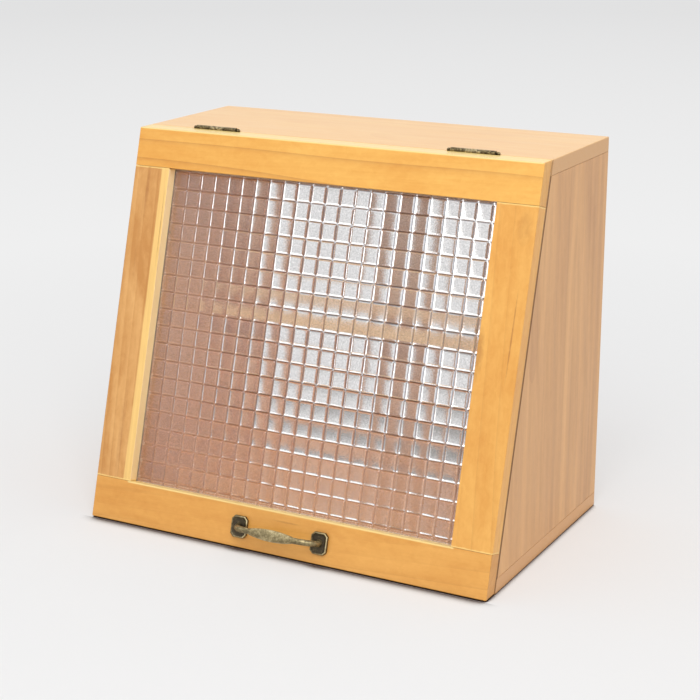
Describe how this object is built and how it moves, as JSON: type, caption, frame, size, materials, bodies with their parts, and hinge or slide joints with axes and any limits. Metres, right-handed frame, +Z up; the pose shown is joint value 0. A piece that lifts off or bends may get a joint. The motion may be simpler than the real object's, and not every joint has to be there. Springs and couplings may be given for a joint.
{
  "type": "tabletop display case",
  "caption": "Tabletop display case of wood with a sloped, top-hinged door of checker glass, a narrow inner shelf and an open slatted back.",
  "frame": {"origin": "centre of the bottom board's underside, on the surface that the case stands on", "axes": "+X to the right seen from the front, +Y towards the back, +Z up; the door looks along -Y"},
  "size_m": [0.4, 0.2626, 0.3531],
  "materials": {
    "carcass_wood": "oiled, satin, fine straight grain",
    "inner_wood": "oiled, satin",
    "dowel_wood": "bare beech",
    "door_wood": "oiled, satin, honey coloured",
    "bead_wood": "oiled, satin",
    "checker_glass": "rolled, clear, pillowed checks on the outer face",
    "hinge_brass": "antiqued dark",
    "handle_brass": "cast, antiqued, worn bright on its edges",
    "pin_brass": "plain",
    "screw_steel": "plain"
  },
  "bodies": {
    "case": {"back_slat_centre": "inner_wood", "back_slat_left": "inner_wood", "back_slat_right": "inner_wood", "bottom_board": "carcass_wood", "carcass_dowel_1": "dowel_wood", "carcass_dowel_10": "dowel_wood", "carcass_dowel_11": "dowel_wood", "carcass_dowel_12": "dowel_wood", "carcass_dowel_2": "dowel_wood", "carcass_dowel_3": "dowel_wood", "carcass_dowel_4": "dowel_wood", "carcass_dowel_5": "dowel_wood", "carcass_dowel_6": "dowel_wood", "carcass_dowel_7": "dowel_wood", "carcass_dowel_8": "dowel_wood", "carcass_dowel_9": "dowel_wood", "hinge_case_screw_1": "hinge_brass", "hinge_case_screw_2": "hinge_brass", "hinge_case_screw_3": "hinge_brass", "hinge_case_screw_4": "hinge_brass", "hinge_left_case_leaf": "hinge_brass", "hinge_left_pin": "hinge_brass", "hinge_right_case_leaf": "hinge_brass", "hinge_right_pin": "hinge_brass", "shelf": "inner_wood", "side_board_left": "carcass_wood", "side_board_right": "carcass_wood", "top_board": "carcass_wood"},
    "door": {"bead_bottom": "bead_wood", "bead_left": "bead_wood", "bead_pin_1": "pin_brass", "bead_pin_2": "pin_brass", "bead_pin_3": "pin_brass", "bead_pin_4": "pin_brass", "bead_pin_5": "pin_brass", "bead_pin_6": "pin_brass", "bead_pin_7": "pin_brass", "bead_pin_8": "pin_brass", "bead_right": "bead_wood", "bead_top": "bead_wood", "door_bottom_rail": "door_wood", "door_handle": "handle_brass", "door_stile_left": "door_wood", "door_stile_right": "door_wood", "door_top_rail": "door_wood", "glass_pane": "checker_glass", "handle_screw_1": "screw_steel", "handle_screw_2": "screw_steel", "hinge_door_screw_1": "hinge_brass", "hinge_door_screw_2": "hinge_brass", "hinge_door_screw_3": "hinge_brass", "hinge_door_screw_4": "hinge_brass", "hinge_left_door_leaf": "hinge_brass", "hinge_right_door_leaf": "hinge_brass"}
  },
  "joints": [
    {"name": "door_hinge", "type": "hinge", "parent": "case", "child": "door", "pos_m": [0, -0.01619, 0.3508], "axis": [-1, 0, 0], "range_deg": [0, 184]}
  ]
}
